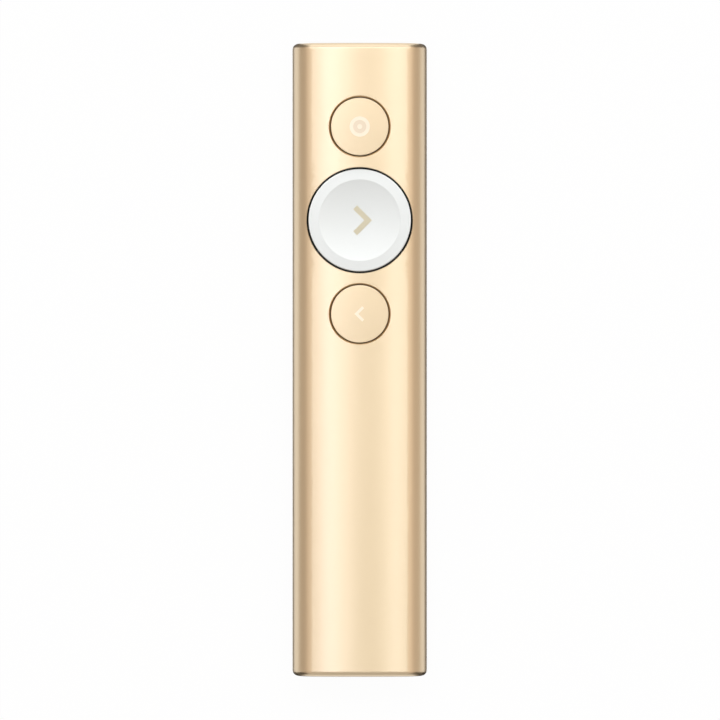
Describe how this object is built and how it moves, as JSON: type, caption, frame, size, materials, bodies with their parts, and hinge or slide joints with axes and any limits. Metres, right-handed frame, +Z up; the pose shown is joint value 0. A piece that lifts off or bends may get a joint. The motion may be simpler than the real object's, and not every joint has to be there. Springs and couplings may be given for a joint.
{
  "type": "wireless presentation clicker",
  "caption": "Slim hand-held wireless presentation clicker in anodised metal, with round push buttons and a plug-in receiver stowed in its tail.",
  "frame": {"origin": "centre of the flat back, on the surface that the clicker lies on", "axes": "+Y along the body, the way the clicker points; +Z up out of the front face with the buttons; +X to the right, seen from above with +Y away"},
  "size_m": [0.028, 0.1314, 0.0121],
  "materials": {
    "gold_aluminium": "bead-blasted, anodised champagne gold",
    "white_satin": "satin moulded white",
    "black_plastic": "fine moulded grain",
    "grey_plastic": "glass-filled nylon, as moulded",
    "white_plastic": "as moulded",
    "keypad_rubber": "matt silicone rubber",
    "board_laminate": "solder mask over glass-fibre laminate",
    "spring_steel": "stamped and plated sheet",
    "screw_steel": "zinc-plated",
    "contact_brass": "gold-flashed",
    "battery_foil": "laminated pouch foil",
    "tape_foam": "thin adhesive foam",
    "lead_red": "wire insulation",
    "lead_blue": "wire insulation"
  },
  "bodies": {
    "case": {"front_shell": "gold_aluminium", "rear_shell": "gold_aluminium", "antenna_window": "black_plastic", "bay_bezel": "black_plastic", "rear_tape": "tape_foam", "chassis": "grey_plastic", "main_board": "board_laminate", "button_frame": "spring_steel", "frame_screws": "screw_steel", "keypad_membrane": "keypad_rubber", "pointer_dome": "spring_steel", "pointer_switch_base": "black_plastic", "pointer_switch_cover": "spring_steel", "next_dome": "spring_steel", "next_switch_base": "black_plastic", "next_switch_cover": "spring_steel", "back_dome": "spring_steel", "back_switch_base": "black_plastic", "back_switch_cover": "spring_steel", "controller_chip": "black_plastic", "motion_sensor": "black_plastic", "shield_can": "spring_steel", "antenna": "contact_brass", "battery_cell": "battery_foil", "battery_pad": "tape_foam", "battery_leads": "lead_red", "battery_connector": "white_plastic", "haptic_motor": "spring_steel", "motor_pad": "tape_foam", "motor_leads": "lead_blue", "charge_port": "spring_steel", "charge_port_tongue": "black_plastic", "bay_sleeve": "black_plastic", "bay_spring": "spring_steel", "bay_screws": "screw_steel", "case_screws": "screw_steel"},
    "pointer_button": {"pointer_cap": "gold_aluminium", "pointer_keyplate": "black_plastic", "pointer_stem": "white_plastic"},
    "next_button": {"next_cap": "white_satin", "next_keyplate": "black_plastic", "next_stem": "white_plastic"},
    "back_button": {"back_cap": "gold_aluminium", "back_keyplate": "black_plastic", "back_stem": "white_plastic"},
    "receiver": {"receiver_housing": "black_plastic", "receiver_end_cap": "gold_aluminium", "receiver_plug_shell": "spring_steel", "receiver_tongue": "white_plastic", "receiver_contacts": "contact_brass", "receiver_board": "board_laminate", "receiver_chip": "black_plastic"}
  },
  "joints": [
    {"name": "pointer_press", "type": "slide", "parent": "case", "child": "pointer_button", "axis": [0, 0, -1], "range_m": [0, 0.0004], "stiffness_N_per_m": 900, "deforming": ["pointer_dome"]},
    {"name": "next_press", "type": "slide", "parent": "case", "child": "next_button", "axis": [0, 0, -1], "range_m": [0, 0.0004], "stiffness_N_per_m": 900, "deforming": ["next_dome"]},
    {"name": "back_press", "type": "slide", "parent": "case", "child": "back_button", "axis": [0, 0, -1], "range_m": [0, 0.0004], "stiffness_N_per_m": 900, "deforming": ["back_dome"]},
    {"name": "receiver_slide", "type": "slide", "parent": "case", "child": "receiver", "axis": [0, -1, 0], "range_m": [0, 0.03]}
  ]
}
